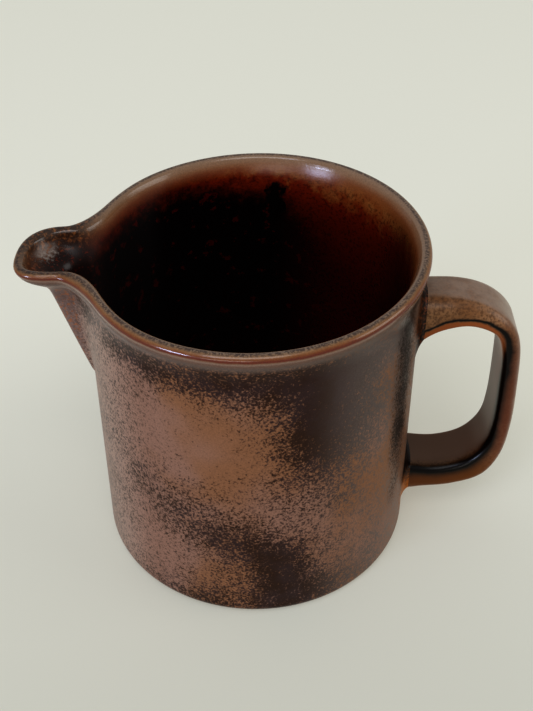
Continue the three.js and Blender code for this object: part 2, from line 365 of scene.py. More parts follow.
def vessel_points(rows):
    """Every row round the vessel: beak columns first, from one root over the tip to the other."""
    beak_index = np.arange(-BEAK_HALF_COLUMNS, BEAK_HALF_COLUMNS + 1)
    along = 1.0 - np.abs(beak_index) / BEAK_HALF_COLUMNS
    side = np.where(beak_index < 0, -1.0, 1.0)
    share = np.arange(1, BODY_COLUMNS) / BODY_COLUMNS
    points, lip = [], []
    for circle, depth, inset, lip_angle in rows:
        hollow = SPOUT_HOLLOW * smooth((FLARE_DEPTH - depth) / 8.0)
        beak_depth, beak_inset = beak_row(depth, inset, lip_angle, along)
        u, v = beak_plan(beak_depth, beak_inset, circle - hollow, along, side)
        body_inset = inset if lip_angle is None else LIP_ROUND * (1 - math.cos(lip_angle))
        root = inset_root_angle(depth, body_inset)
        angles = root + share * (2 * math.pi - 2 * root)
        from_beak = np.minimum(angles, 2 * math.pi - angles) - root
        radius = circle - hollow * np.exp(-((from_beak / SPOUT_HOLLOW_REACH) ** 2))
        u = np.concatenate([u, radius * np.cos(angles)])
        v = np.concatenate([v, radius * np.sin(angles)])
        low = np.concatenate([np.broadcast_to(beak_depth, along.shape), np.full(len(angles), depth)])
        x = u * math.cos(SPOUT_HEADING) - v * math.sin(SPOUT_HEADING)
        y = u * math.sin(SPOUT_HEADING) + v * math.cos(SPOUT_HEADING)
        z = HEIGHT - low
        z = z + RIM_TILT * x * z / HEIGHT
        points.append(np.stack([x + AXIS_X, y, z], axis=1))
        lip.append(np.full(len(x), lip_distance(depth, inset, lip_angle)))
    return np.array(points), np.array(lip)


def cut_faces(at, first, last, beak_end):
    """The faces where beak and body part: a strip down each root and one under the beak."""
    cuts = []
    outer, inner = first, last
    while outer + 2 <= inner:
        far_root = [outer, outer + 1, inner - 1, inner]
        near_root = [outer + 1, outer, inner, inner - 1]
        if outer + 2 == inner:
            far_root.pop(2)
            near_root.pop()
        cuts.append(tuple(at(row, beak_end) for row in far_root))
        cuts.append(tuple(at(row, 0) for row in near_root))
        outer += 1
        inner -= 1
    for col in range(beak_end):
        cuts.append((at(first, col), at(first, col + 1), at(last, col + 1), at(last, col)))
    return cuts


def make_vessel():
    rows, first, last = profile_rows()
    grid, lip = vessel_points(rows)
    n_rows, n_cols = grid.shape[:2]
    points = grid.reshape(-1, 3)
    foot_middle = len(points)
    floor_middle = foot_middle + 1
    points = np.vstack([points, [AXIS_X, 0, FOOT_RECESS], [AXIS_X, 0, FLOOR_TOP]])
    lip = np.append(lip.reshape(-1), [-99.0, 99.0])

    def at(row, col):
        return row * n_cols + col % n_cols

    beak_end = 2 * BEAK_HALF_COLUMNS
    body, beak = [], []
    for row in range(n_rows - 1):
        for col in range(n_cols):
            face = (at(row, col), at(row, col + 1), at(row + 1, col + 1), at(row + 1, col))
            inside_beak = first <= row < last and col < beak_end
            (beak if inside_beak else body).append(face)
    for col in range(n_cols):
        body.append((foot_middle, at(0, col + 1), at(0, col)))
        body.append((floor_middle, at(n_rows - 1, col), at(n_rows - 1, col + 1)))
    normals = vertex_normals(points, body + beak)

    cuts = cut_faces(at, first, last, beak_end)
    attributes = {"lip": lip}
    vessel = make_object("glazed_body", points, body + cuts, attributes, normals, len(body))
    spout = make_object("glazed_spout", points, beak + turned_round(cuts), attributes, normals, len(beak))
    return vessel, spout


# ---- Handle ---------------------------------------------------------------------------------------

def spline(points, count):
    """Points at even steps of length along a smooth curve through the given ones."""
    points = np.array(points, dtype=float)
    padded = np.vstack([2 * points[0] - points[1], points, 2 * points[-1] - points[-2]])
    curve = []
    for i in range(1, len(padded) - 2):
        a, b, c, d = padded[i - 1:i + 3]
        for t in np.linspace(0, 1, 24, endpoint=False):
            square = (2 * a - 5 * b + 4 * c - d) * t * t
            cube = (3 * b - a - 3 * c + d) * t**3
            curve.append(0.5 * (2 * b + (c - a) * t + square + cube))
    curve.append(points[-1])
    curve = np.array(curve)
    length = np.concatenate([[0], np.cumsum(np.linalg.norm(np.diff(curve, axis=0), axis=1))])
    steps = np.linspace(0, length[-1], count)
    return np.stack([np.interp(steps, length, curve[:, k]) for k in range(2)], axis=1)


def strap_outline(thickness, along):
    """The strap's section at a share of its length, as points across it and through it."""
    half = np.array([HANDLE_WIDTH / 2, thickness / 2])
    at_grip = smooth((along - TOP_ARM_END) / (GRIP_START - TOP_ARM_END))
    outer = mix(TOP_OUTER_CORNER, OUTER_CORNER, at_grip)
    corners = ((1, 1, outer), (-1, 1, outer), (-1, -1, INNER_CORNER), (1, -1, BACK_INNER_CORNER))
    angles = np.linspace(0, math.pi / 2, CORNER_POINTS)
    arcs = []
    for index, (across, through, size) in enumerate(corners):
        size = np.minimum(size, CORNER_LIMIT * thickness)
        turn = angles[::-1] if index % 2 else angles
        quarter = np.stack([np.cos(turn), np.sin(turn)], axis=1)
        arcs.append(np.array([across, through]) * (half - size + size * quarter))
    outline = []
    for index, arc in enumerate(arcs):
        next_arc = arcs[(index + 1) % len(arcs)]
        outline.extend(arc)
        outline.extend(mix(arc[-1], next_arc[0], share) for share in (0.2, 0.4, 0.6, 0.8))
    return np.array(outline)


def strap_section(thickness, along):
    """The strap's outline at a share of its length, and at each of its points the way round from the
    front inner corner and the way to the nearer outer corner."""
    outline = strap_outline(thickness, along)
    step = np.linalg.norm(np.roll(outline, -1, axis=0) - outline, axis=1)
    way = np.concatenate([[0.0], np.cumsum(step)[:-1]])
    across = outline[:, 0] / (HANDLE_WIDTH / 2)
    through = outline[:, 1] / (thickness / 2)
    way = way - way[np.argmax(-across - through)]
    total = step.sum()
    way = (way + total / 2) % total - total / 2
    front_corner = way[np.argmax(through - across)]
    back_corner = way[np.argmax(through + across)]
    ridge = np.minimum(np.abs(way - front_corner), np.abs(way - back_corner))
    return outline, way, ridge


def handle_rows():
    """The strap's rows of points from its upper root to its lower one, and what its glaze reads."""
    outside = spline(HANDLE_OUTSIDE, HANDLE_ROWS)
    inside = spline(HANDLE_INSIDE, HANDLE_ROWS)
    rows, ways, ridges, crowns = [], [], [], []
    for along, outer, inner in zip(np.linspace(0, 1, HANDLE_ROWS), outside, inside):
        middle = (outer + inner) / 2
        thickness = np.linalg.norm(outer - inner)
        through = (outer - inner) / thickness
        section, way, ridge = strap_section(thickness, along)
        x = middle[0] + section[:, 1] * through[0]
        z = middle[1] + section[:, 1] * through[1]
        rows.append(np.stack([x + AXIS_X, section[:, 0], z], axis=1))
        ways.append(way)
        ridges.append(ridge)
        crowns.append(section[:, 1] / (thickness / 2))
    rows = np.array(rows)
    attributes = {
        "way": np.concatenate(ways),
        "ridge": np.concatenate(ridges),
        "crown": np.concatenate(crowns),
        "along": np.repeat(np.linspace(0, 1, HANDLE_ROWS), rows.shape[1]),
    }
    return rows, attributes


def tube_faces(n_rows, n_cols, closed):
    faces = []
    spans = n_rows if closed else n_rows - 1
    for row in range(spans):
        for col in range(n_cols):
            a = row * n_cols + col
            b = row * n_cols + (col + 1) % n_cols
            c = ((row + 1) % n_rows) * n_cols + (col + 1) % n_cols
            d = ((row + 1) % n_rows) * n_cols + col
            faces.append((a, b, c, d))
    return faces


def make_handle(rows, attributes):
    n_rows, n_cols = rows.shape[:2]
    points = rows.reshape(-1, 3)
    faces = tube_faces(n_rows, n_cols, False)
    volume = sum(np.dot(points[f[0]], np.cross(points[f[1]], points[f[2]])) for f in faces)
    faces.append(tuple(range(n_cols - 1, -1, -1)))
    faces.append(tuple((n_rows - 1) * n_cols + col for col in range(n_cols)))
    if volume < 0:
        faces = turned_round(faces)
    return make_object("strap_handle", points, faces, attributes)


def wall_x(y):
    return np.sqrt(WALL_RADIUS**2 - y * y) + AXIS_X


def outward_at(root):
    """Unit vectors in the wall's plane that point away from the strap, all round its root."""
    ahead = np.roll(root, -1, axis=0) - np.roll(root, 1, axis=0)
    out = unit(np.stack([ahead[:, 2], -ahead[:, 1]], axis=1))
    middle = root[:, 1:].mean(axis=0)
    if ((root[:, 1:] - middle) * out).sum() < 0:
        out = -out
    for _ in range(6):
        out = unit((out + np.roll(out, 1, axis=0) + np.roll(out, -1, axis=0)) / 3)
    return out


def make_joint(name, rows, spread):
    """A hollow-faced fillet round the strap's root. rows start inside the wall and go outwards."""
    n_cols = rows.shape[1]
    height = rows[:, :, 0] - wall_x(rows[:, :, 1])

    def strap_at(level):
        """The strap's outline where it stands this far out from the wall."""
        found = np.empty((n_cols, 3))
        for col in range(n_cols):
            for k in range(3):
                found[col, k] = np.interp(level, height[:, col], rows[:, col, k])
        return found

    out = outward_at(strap_at(0.0))

    def ring(level, away):
        place = strap_at(max(level, 0.0))
        place[:, 1:] += out * away
        place[:, 0] = wall_x(place[:, 1]) + level
        return place

    loops = []
    for angle in np.linspace(0, math.pi / 2, 10):
        level = JOINT_RISE * (1 - math.sin(angle)) - 0.06
        loops.append(ring(level, spread * (1 - math.cos(angle)) - 0.12))
    loops.append(ring(-JOINT_SINK, spread - 0.6))
    loops.append(ring(-JOINT_SINK, -JOINT_SINK))
    loops.append(ring(JOINT_RISE - 0.5, -JOINT_SINK))
    points = np.concatenate(loops)
    faces = tube_faces(len(loops), n_cols, True)
    normals = face_normals(points, faces[:n_cols])
    outward = np.concatenate([np.zeros((n_cols, 1)), out], axis=1)
    if (normals * outward).sum() < 0:
        faces = turned_round(faces)
    return make_object(name, points, faces)


# ---- Colours --------------------------------------------------------------------------------------

def srgb(red, green, blue):
    """A colour given as 0 to 255 on the screen's scale."""
    def linear(value):
        value /= 255
        return value / 12.92 if value <= 0.04045 else ((value + 0.055) / 1.055) ** 2.4
    return tuple(linear(value) for value in (red, green, blue))


TAN_WARM = srgb(142, 102, 74)
TAN_PINK = srgb(148, 114, 97)
# The palest tan is painted shine on the wall's left side.
TAN_PAINTED_SHINE = srgb(174, 148, 131)
DARK_WARM = srgb(54, 32, 21)
DARK_COOL = srgb(60, 42, 40)
# Painted reflection: a grey that the dark glaze takes right of the front, as if it mirrored the bright
# room.
DARK_PAINTED_REFLECTION = srgb(104, 92, 87)
DARK_GRAIN = srgb(20, 12, 8)
RIM_GREY = srgb(112, 97, 88)
# The paler rim grey is painted shine on the left side of the band under the lip.
RIM_PAINTED_SHINE = srgb(142, 123, 112)
FLANK_BROWN = srgb(134, 110, 101)
FLANK_ORANGE = srgb(158, 98, 58)
BARE_CLAY = srgb(150, 128, 104)

POOL_DARK = srgb(20, 7, 4)
POOL_ORANGE = srgb(124, 70, 38)
POOL_AMBER = srgb(160, 92, 16)

INSIDE_DARK = srgb(14, 1, 1)
INSIDE_DEEP = srgb(82, 10, 3)
INSIDE_RED = srgb(116, 38, 6)
INSIDE_AMBER = srgb(150, 96, 52)
INSIDE_FLOOR = srgb(98, 8, 4)
BEAK_DARK = srgb(34, 10, 6)
# A painted highlight inside the beak.
BEAK_PAINTED_HIGHLIGHT = srgb(196, 182, 172)

STRAP_BROWN = srgb(132, 93, 60)
STRAP_TAN = srgb(150, 114, 82)
STRAP_SPECK = srgb(100, 70, 46)
STRAP_GRIP = srgb(104, 56, 36)
# Painted shine on the top of the top arm.
STRAP_PAINTED_TOP_SHINE = srgb(156, 138, 126)
# A painted highlight along the strap's outer corners.
STRAP_PAINTED_EDGE_HIGHLIGHT = srgb(160, 136, 120)
STRAP_INNER_FACE = srgb(104, 80, 64)
# A painted dark reflection along the strap's front inner corner.
CORNER_PAINTED_DARK_REFLECTION = srgb(10, 3, 1)
CREASE_AMBER_ABOVE = srgb(148, 86, 44)
CREASE_AMBER_BELOW = srgb(104, 58, 12)

# The nearer paper is darker: painted shade.
PAPER_NEAR_PAINTED_SHADE = srgb(184, 184, 174)
PAPER_FAR = srgb(206, 206, 196)

# The lip's colours across it: millimetres from its crown, where less than nothing is outside, the
# colour, and how much of what lies under it the colour covers.
LIP_BANDS = [
    (-5.4, srgb(104, 90, 82), 0.0), (-4.8, srgb(110, 92, 82), 0.9), (-3.8, srgb(120, 94, 80), 1.0),
    (-3.2, srgb(138, 112, 96), 1.0), (-2.8, srgb(126, 90, 66), 1.0), (-2.45, srgb(104, 38, 18), 1.0),
    (-2.1, srgb(108, 46, 24), 1.0), (-1.6, srgb(128, 78, 42), 1.0), (-1.0, srgb(146, 108, 72), 1.0),
    (-0.5, srgb(142, 116, 92), 1.0), (0.0, srgb(140, 118, 100), 1.0), (0.5, srgb(142, 118, 98), 1.0),
    (1.2, srgb(146, 118, 94), 1.0), (2.2, srgb(146, 112, 84), 1.0), (3.2, srgb(140, 98, 68), 1.0),
    (4.2, srgb(130, 80, 48), 0.7), (7.0, srgb(120, 62, 28), 0.0),
]
LIP_SPAN = 10.0  # the bands' scale runs this far to either side of the crown
LIP_OUTER_EDGE = -3.4  # the lip's own shine lies between these two
LIP_INNER_EDGE = 2.6

# Soft clouds of sprayed glaze: degrees round from the front towards the handle, millimetres below the
# lip, reach in millimetres, and strength, where less than nothing is dark and more is tan.
CLOUDS = [
    (19, 17, 9, -1.2), (19, 27, 9, -1.05), (19, 36, 9, -0.95), (22, 44, 8, -0.4),
    (34, 16, 11, -0.9), (36, 27, 12, -0.9), (40, 38, 12, -0.7), (30, 54, 9, -0.35),
    (50, 52, 11, 0.45), (-12, 14, 9, -0.4), (6, 14, 8, -0.3), (-44, 54, 6, -0.38),
    (-30, 61, 7, -0.52), (-18, 66, 8, -0.85), (-6, 70, 8, -1.0), (8, 74, 8, -1.4),
    (10, 85, 9, -1.4), (8, 96, 9, -1.3), (24, 94, 9, -1.0), (-16, 97, 9, -0.9),
    (-34, 97, 9, -0.6), (44, 93, 9, -0.6), (-26, 32, 15, 0.9), (-10, 38, 10, 0.8),
    (-14, 23, 8, 0.5), (-60, 12, 8, 0.75), (-35, 82, 14, 0.6), (33, 76, 10, 0.2),
    (-10, 52, 7, 0.2), (120, 22, 14, -0.9), (132, 42, 12, -0.8), (150, 60, 12, -0.9),
    (172, 74, 12, -0.9), (196, 86, 12, -0.9), (226, 30, 13, -0.7), (240, 66, 11, -0.7),
    (82, 60, 10, -0.6), (100, 86, 12, -0.7), (175, 32, 18, 0.7), (130, 82, 14, 0.7),
    (250, 88, 10, 0.5),
]
DARK_BAND_DEPTH = 10.0  # a dark band runs round the wall this far below the lip
DARK_BAND_REACH = 6.0

# Where single marks of the glaze lie, and where the painted highlight inside the beak lies.
STREAK_HEADING = math.radians(61)  # from the front towards the handle
STREAK_REACH = math.radians(6.2)
ROOT_REACH = 45.5  # the strap's roots, from the body's axis
UPPER_ROOT = (78.0, 24.0, 15.0)  # height of the pool's middle, its reach, and how much of that is soft
LOWER_ROOT = (16.0, 17.0, 8.0)
BLOTCH_MIDDLE = (AXIS_X + 7.0, INNER_RADIUS, HEIGHT - 13.0)
BLOTCH_SQUASH = 0.55  # heights count this much, so the blotch is taller than wide
BEAK_PAINTED_HIGHLIGHT_MIDDLE = (-64.1, 5.2, 96.2)


# ---- Materials ------------------------------------------------------------------------------------

class Graph:
    """Short names for the shader nodes that the glazes are made of."""

    def __init__(self, name):
        self.material = bpy.data.materials.new(name)
        self.material.use_nodes = True
        self.nodes = self.material.node_tree.nodes
        self.links = self.material.node_tree.links
        self.shader = self.nodes["Principled BSDF"]

    def put(self, socket, value):
        if isinstance(value, bpy.types.NodeSocket):
            self.links.new(value, socket)
        elif isinstance(value, tuple) and len(value) == 3 and socket.type == "RGBA":
            socket.default_value = (*value, 1.0)
        else:
            socket.default_value = value

    def shade(self, colour, roughness, specular, normal=None):
        self.put(self.shader.inputs["Base Color"], colour)
        self.put(self.shader.inputs["Roughness"], roughness)
        self.shader.inputs["Specular IOR Level"].default_value = specular
        if normal is not None:
            self.put(self.shader.inputs["Normal"], normal)

    def place(self):
        return self.nodes.new("ShaderNodeTexCoord").outputs["Object"]

    def attribute(self, name):
        node = self.nodes.new("ShaderNodeAttribute")
        node.attribute_name = name
        return node.outputs["Fac"]

    def math(self, operation, a, b=0.0, c=0.0, clamp=False):
        node = self.nodes.new("ShaderNodeMath")
        node.operation = operation
        node.use_clamp = clamp
        for socket, value in zip(node.inputs, (a, b, c)):
            self.put(socket, value)
        return node.outputs[0]

    def times(self, a, b):
        return self.math("MULTIPLY", a, b)

    def jitter(self, value, noise, amount):
        """The value moved up and down by a noise, by up to about half the amount."""
        return self.math("MULTIPLY_ADD", self.math("SUBTRACT", noise, 0.5), amount, value)

    def bell(self, value):
        """1 where the value is nothing, about a third at 1 on either side, and hardly any at 2."""
        return self.math("EXPONENT", self.times(self.times(value, value), -1.0))

    def distance(self, a, b):
        node = self.nodes.new("ShaderNodeVectorMath")
        node.operation = "DISTANCE"
        self.put(node.inputs[0], a)
        self.put(node.inputs[1], b)
        return node.outputs["Value"]

    def stretch(self, vector, factors):
        node = self.nodes.new("ShaderNodeVectorMath")
        node.operation = "MULTIPLY"
        self.put(node.inputs[0], vector)
        self.put(node.inputs[1], factors)
        return node.outputs["Vector"]

    def split(self, vector):
        node = self.nodes.new("ShaderNodeSeparateXYZ")
        self.put(node.inputs[0], vector)
        return node.outputs

    def noise(self, vector, scale, detail=2.0, roughness=0.5):
        node = self.nodes.new("ShaderNodeTexNoise")
        self.put(node.inputs["Vector"], vector)
        node.inputs["Scale"].default_value = scale
        node.inputs["Detail"].default_value = detail
        node.inputs["Roughness"].default_value = roughness
        return node.outputs["Fac"]

    def step(self, value, low, high, out_low=0.0, out_high=1.0):
        node = self.nodes.new("ShaderNodeMapRange")
        node.interpolation_type = "SMOOTHSTEP"
        for socket, given in zip(node.inputs, (value, low, high, out_low, out_high)):
            self.put(socket, given)
        return node.outputs[0]

    def blend(self, share, a, b):
        node = self.nodes.new("ShaderNodeMix")
        node.data_type = "RGBA"
        self.put(node.inputs["Factor"], share)
        self.put(node.inputs[6], a)
        self.put(node.inputs[7], b)
        return node.outputs[2]

    def ramp(self, value, stops):
        """The colour and the alpha of a ramp of (position, colour with alpha) stops."""
        node = self.nodes.new("ShaderNodeValToRGB")
        elements = node.color_ramp.elements
        while len(elements) > 1:
            elements.remove(elements[-1])
        for index, (position, colour) in enumerate(stops):
            element = elements[0] if index == 0 else elements.new(position)
            element.position = position
            element.color = colour
        self.put(node.inputs[0], value)
        return node.outputs["Color"], node.outputs["Alpha"]

    def bump(self, height, strength, distance):
        node = self.nodes.new("ShaderNodeBump")
        node.inputs["Strength"].default_value = strength
        node.inputs["Distance"].default_value = distance
        self.put(node.inputs["Height"], height)
        return node.outputs["Normal"]


class GlazeNoises:
    """The noises that all parts of the vessel's glaze share, from the coarsest to the finest."""

    def __init__(self, graph, place):
        self.cloudy = graph.noise(place, 110.0, 3.0, 0.55)
        self.spots = graph.noise(place, 260.0, 3.0, 0.6)
        self.clump = graph.noise(place, 520.0, 2.0, 0.5)
        self.fleck = graph.noise(place, 1000.0, 3.0, 0.65)
        self.speck = graph.noise(place, 1500.0, 2.0, 0.6)
        self.grain = graph.noise(place, 2600.0, 1.0, 0.5)


def glaze_cover(graph, place):
    """How much tan glaze is sprayed over the dark: more than nothing is mostly tan, less mostly dark."""
    depth = graph.math("SUBTRACT", HEIGHT * MM, graph.split(place)[2])
    band = graph.math("SUBTRACT", depth, DARK_BAND_DEPTH * MM)
    band = graph.math("DIVIDE", band, DARK_BAND_REACH * MM)
    cover = graph.math("MULTIPLY_ADD", graph.bell(band), -1.35, 0.35)
    for around, below, reach, strength in CLOUDS:
        angle = math.radians(around)
        middle = (
            (AXIS_X + WALL_RADIUS * math.sin(angle)) * MM,
            -WALL_RADIUS * math.cos(angle) * MM,
            (HEIGHT - below) * MM,
        )
        far = graph.math("DIVIDE", graph.distance(place, middle), reach * MM)
        cover = graph.math("MULTIPLY_ADD", graph.bell(far), strength, cover)
    return cover


def wall_colour(graph, place, lip, noises):
    """The outside of wall and beak, tan specks over dark glaze with painted shine and reflection, and how
    much of it is tan.
    """
    x, y, _ = graph.split(place)
    level = graph.jitter(glaze_cover(graph, place), noises.cloudy, 1.2)
    level = graph.jitter(level, noises.clump, 2.2)
    level = graph.jitter(level, noises.speck, 7.0)
    tan_share = graph.step(level, -1.15, 1.05)

    on_beak = graph.step(x, -0.0515, -0.056)
    drift = graph.noise(place, 38.0)
    # Painted shine: towards the left the tan turns pinker, and then paler where the wall turns away.
    drift = graph.math("MULTIPLY_ADD", graph.step(x, -0.02, -0.045), 0.25, drift)
    tan = graph.blend(graph.step(drift, 0.38, 0.66), TAN_WARM, TAN_PINK)
    tan = graph.blend(graph.step(x, -0.034, -0.05), tan, TAN_PAINTED_SHINE)
    tan = graph.blend(on_beak, tan, FLANK_BROWN)

    dark = graph.blend(graph.step(noises.cloudy, 0.35, 0.65), DARK_WARM, DARK_COOL)
    # Painted reflection: right of the front, the dark glaze is turned grey in fine grains.
    painted_grey_reflection = graph.times(graph.step(x, 0.006, 0.024), graph.step(y, 0.0, -0.015))
    painted_grey_reflection = graph.times(painted_grey_reflection, graph.step(noises.grain, 0.3, 0.7, 0.6, 1.0))
    dark = graph.blend(painted_grey_reflection, dark, DARK_PAINTED_REFLECTION)

    colour = graph.blend(tan_share, dark, tan)
    flecked = graph.times(on_beak, graph.step(noises.fleck, 0.5, 0.64, 0.0, 0.8))
    colour = graph.blend(graph.times(on_beak, 0.6), colour, FLANK_BROWN)
    colour = graph.blend(flecked, colour, FLANK_ORANGE)
    # Painted shine: the grey band under the lip is paled towards the left as well.
    rim_grey_and_painted_shine = graph.blend(graph.step(x, -0.02, -0.048), RIM_GREY, RIM_PAINTED_SHINE)
    under_lip = graph.step(lip, -7.4, -4.8)
    colour = graph.blend(graph.times(under_lip, 0.8), colour, rim_grey_and_painted_shine)
    return colour, tan_share


def settled_height(graph, place, noise):
    """The height above the foot, made uneven so that the pools have no straight edge."""
    return graph.jitter(graph.split(place)[2], noise, 0.012)


def lower_pool(graph, settled):
    """Glaze that ran dark round the lower root and thin and amber under it."""
    return graph.blend(graph.step(settled, 0.0215, 0.0125), POOL_DARK, POOL_AMBER)


def glaze_by_handle(graph, place, noises, colour):
    """Lays a dark upright streak beside the handle and the pools round its roots over the wall."""
    x, y, z = graph.split(place)
    to_handle = graph.math("SUBTRACT", x, AXIS_X * MM)
    around = graph.math("ARCTAN2", to_handle, graph.times(y, -1.0))
    streak = graph.math("DIVIDE", graph.math("SUBTRACT", around, STREAK_HEADING), STREAK_REACH)
    streak = graph.times(graph.bell(streak), graph.step(z, 0.004, 0.07))
    near_streak = graph.step(streak, 0.03, 0.35)
    streak = graph.jitter(streak, noises.cloudy, 1.4)
    streak = graph.jitter(streak, noises.speck, 3.2)
    streak = graph.times(near_streak, graph.step(streak, 0.1, 0.9, 0.0, 0.94))
    colour = graph.blend(streak, colour, POOL_DARK)

    upper = graph.blend(graph.step(noises.fleck, 0.38, 0.66), POOL_DARK, POOL_ORANGE)
    lower = lower_pool(graph, settled_height(graph, place, noises.fleck))
    for (height, reach, soft), pool in ((UPPER_ROOT, upper), (LOWER_ROOT, lower)):
        root = ((AXIS_X + ROOT_REACH) * MM, 0.0, height * MM)
        far = graph.jitter(graph.distance(place, root), noises.fleck, 0.014)
        colour = graph.blend(graph.step(far, reach * MM, (reach - soft) * MM), colour, pool)
    return colour


def blotch_share(graph, place, noises):
    """A dark run of glaze on the inside, under the lip's far side."""
    squash = (1.0, 1.0, BLOTCH_SQUASH)
    middle = tuple(value * factor * MM for value, factor in zip(BLOTCH_MIDDLE, squash))
    far = graph.distance(graph.stretch(place, squash), middle)
    return graph.step(graph.jitter(far, noises.spots, 0.009), 0.0036, 0.0022)


def beak_inside_colour(graph, place, noises):
    """Dark glaze with red flecks, and a painted highlight on the back wall near the beak's tip."""
    middle = tuple(value * MM for value in BEAK_PAINTED_HIGHLIGHT_MIDDLE)
    painted_highlight = graph.jitter(graph.distance(place, middle), noises.fleck, 0.009)
    colour = graph.blend(graph.step(noises.fleck, 0.54, 0.74), BEAK_DARK, INSIDE_RED)
    return graph.blend(graph.step(painted_highlight, 0.0058, 0.0012), colour, BEAK_PAINTED_HIGHLIGHT)


def inside_colour(graph, place, lip, noises):
    """Amber and red below the lip, sooner dark on the left, and nearly black further down."""
    x, y, z = graph.split(place)
    right = graph.step(x, -0.002, 0.026)
    left = graph.step(x, 0.004, -0.03, 0.0, 5.5)
    uneven_lip = graph.jitter(graph.math("ADD", lip, left), noises.spots, 16.0)
    redden = graph.step(uneven_lip, 3.0, graph.math("MULTIPLY_ADD", right, 7.0, 8.0))
    colour = graph.blend(redden, INSIDE_AMBER, INSIDE_RED)
    deep_start = graph.math("MULTIPLY_ADD", right, 4.0, 6.0)
    deep_end = graph.math("MULTIPLY_ADD", right, 26.0, 18.0)
    glow = graph.math("ADD", right, graph.step(noises.spots, 0.58, 0.66), clamp=True)
    below = graph.blend(glow, INSIDE_DARK, INSIDE_DEEP)
    colour = graph.blend(graph.step(uneven_lip, deep_start, deep_end), colour, below)

    near_lip = graph.times(graph.step(lip, 4.0, 7.0), graph.step(noises.fleck, 0.5, 0.62))
    front = graph.step(graph.math("MULTIPLY_ADD", x, -0.5, y), 0.012, -0.012)
    on_floor = graph.step(z, (FLOOR_TOP + 5.0) * MM, (FLOOR_TOP + 0.5) * MM)
    on_beak = graph.step(x, -0.046, -0.054)
    colour = graph.blend(graph.times(near_lip, 0.45), colour, INSIDE_DARK)
    colour = graph.blend(blotch_share(graph, place, noises), colour, INSIDE_DARK)
    colour = graph.blend(graph.times(front, 0.6), colour, INSIDE_DARK)
    colour = graph.blend(on_floor, colour, INSIDE_FLOOR)
    return graph.blend(on_beak, colour, beak_inside_colour(graph, place, noises))


def lip_colour(graph, place, lip, noises):
    """The bands across the lip, specked along its crown, and how much they cover."""
    x, y, _ = graph.split(place)
    across = graph.math("MULTIPLY_ADD", lip, 1 / (2 * LIP_SPAN), 0.5)
    across = graph.jitter(across, graph.noise(place, 300.0, 3.0), 0.04)
    stops = []
    for distance, colour, alpha in LIP_BANDS:
        stops.append((0.5 + distance / (2 * LIP_SPAN), (*colour, alpha)))
    bands, cover = graph.ramp(across, stops)

    crown = graph.times(graph.step(lip, -1.3, -0.3), graph.step(lip, 0.7, 0.2))
    crown = graph.times(crown, graph.step(noises.speck, 0.38, 0.56))
    colour = graph.blend(graph.times(crown, 0.75), bands, DARK_COOL)
    beak_rim = graph.times(graph.step(x, -0.046, -0.055), graph.step(lip, -1.6, -0.4))
    beak_rim = graph.times(beak_rim, graph.step(y, -0.006, 0.006, 0.45, 0.85))
    beak_flecks = graph.blend(graph.step(noises.fleck, 0.46, 0.72), BEAK_DARK, INSIDE_AMBER)
    return graph.blend(beak_rim, colour, beak_flecks), cover


def vessel_glaze(name, specular, roughness, frosted, neck):
    """The vessel's glaze with one region's shine. The colours run on from region to region.

    The tan specks are rougher than the dark glaze by frosted, and the inside is rougher by neck
    where the beak meets the body."""
    graph = Graph(name)
    place = graph.place()
    x, _, z = graph.split(place)
    lip = graph.attribute("lip")
    noises = GlazeNoises(graph, place)
    outside, tan_share = wall_colour(graph, place, lip, noises)
    outside = glaze_by_handle(graph, place, noises, outside)
    inside = inside_colour(graph, place, lip, noises)
    colour = graph.blend(graph.step(lip, 1.5, 3.0), outside, inside)
    bands, cover = lip_colour(graph, place, lip, noises)
    colour = graph.blend(cover, colour, bands)
    foot = graph.times(graph.step(z, 0.9 * MM, 0.3 * MM), graph.step(lip, -60.0, -80.0))
    colour = graph.blend(foot, colour, BARE_CLAY)
    colour = graph.blend(graph.step(noises.grain, 0.35, 0.65, 0.0, 0.16), colour, DARK_GRAIN)

    rough = graph.math("MULTIPLY_ADD", tan_share, frosted, roughness)
    at_neck = graph.times(graph.step(x, -0.03, -0.038), graph.step(x, -0.057, -0.052))
    rough = graph.math("MULTIPLY_ADD", at_neck, neck, rough)
    height = graph.math("MULTIPLY_ADD", noises.speck, 0.5, graph.noise(place, 420.0))
    graph.shade(colour, rough, specular, graph.bump(height, 0.25, 0.00012))
    return graph.material


def glaze_by_region(piece, materials):
    """Outside, lip and inside, told apart by the place across the lip."""
    for material in materials:
        piece.data.materials.append(material)
    values = np.empty(len(piece.data.vertices), dtype=np.float32)
    piece.data.attributes["lip"].data.foreach_get("value", values)
    for polygon in piece.data.polygons:
        middle = float(np.mean(values[list(polygon.vertices)]))
        polygon.material_index = int(middle >= LIP_OUTER_EDGE) + int(middle >= LIP_INNER_EDGE)


def strap_corner_amber_and_reflection(graph, place, way, along, colour):
    """Lays a painted dark reflection as a line along the strap's front inner corner, and amber glaze
    beside it on both arms.
    """
    shifted = graph.math("ADD", way, graph.step(along, 0.16, 0.5, 4.5, 0.2))
    shifted = graph.math("ADD", shifted, graph.step(along, 0.6, 0.8, 0.0, 0.8))
    shifted = graph.jitter(shifted, graph.noise(place, 220.0, 3.0), 1.4)
    above = graph.times(graph.step(shifted, 0.3, 1.2), graph.step(shifted, 6.5, 5.0))
    above = graph.times(above, graph.step(along, 0.42, 0.3))
    below = graph.times(graph.step(shifted, -0.8, -1.8), graph.step(shifted, -9.0, -5.0))
    below = graph.times(below, graph.step(along, 0.66, 0.8))
    colour = graph.blend(above, colour, CREASE_AMBER_ABOVE)
    colour = graph.blend(below, colour, CREASE_AMBER_BELOW)
    half_width = graph.step(along, 0.2, 0.45, 0.6, 2.6)
    # Painted reflection: a dark line along the rounded corner.
    painted_dark_line = graph.bell(graph.math("DIVIDE", shifted, half_width))
    painted_dark_line = graph.math("MULTIPLY", painted_dark_line, 1.15, clamp=True)
    return graph.blend(painted_dark_line, colour, CORNER_PAINTED_DARK_REFLECTION)


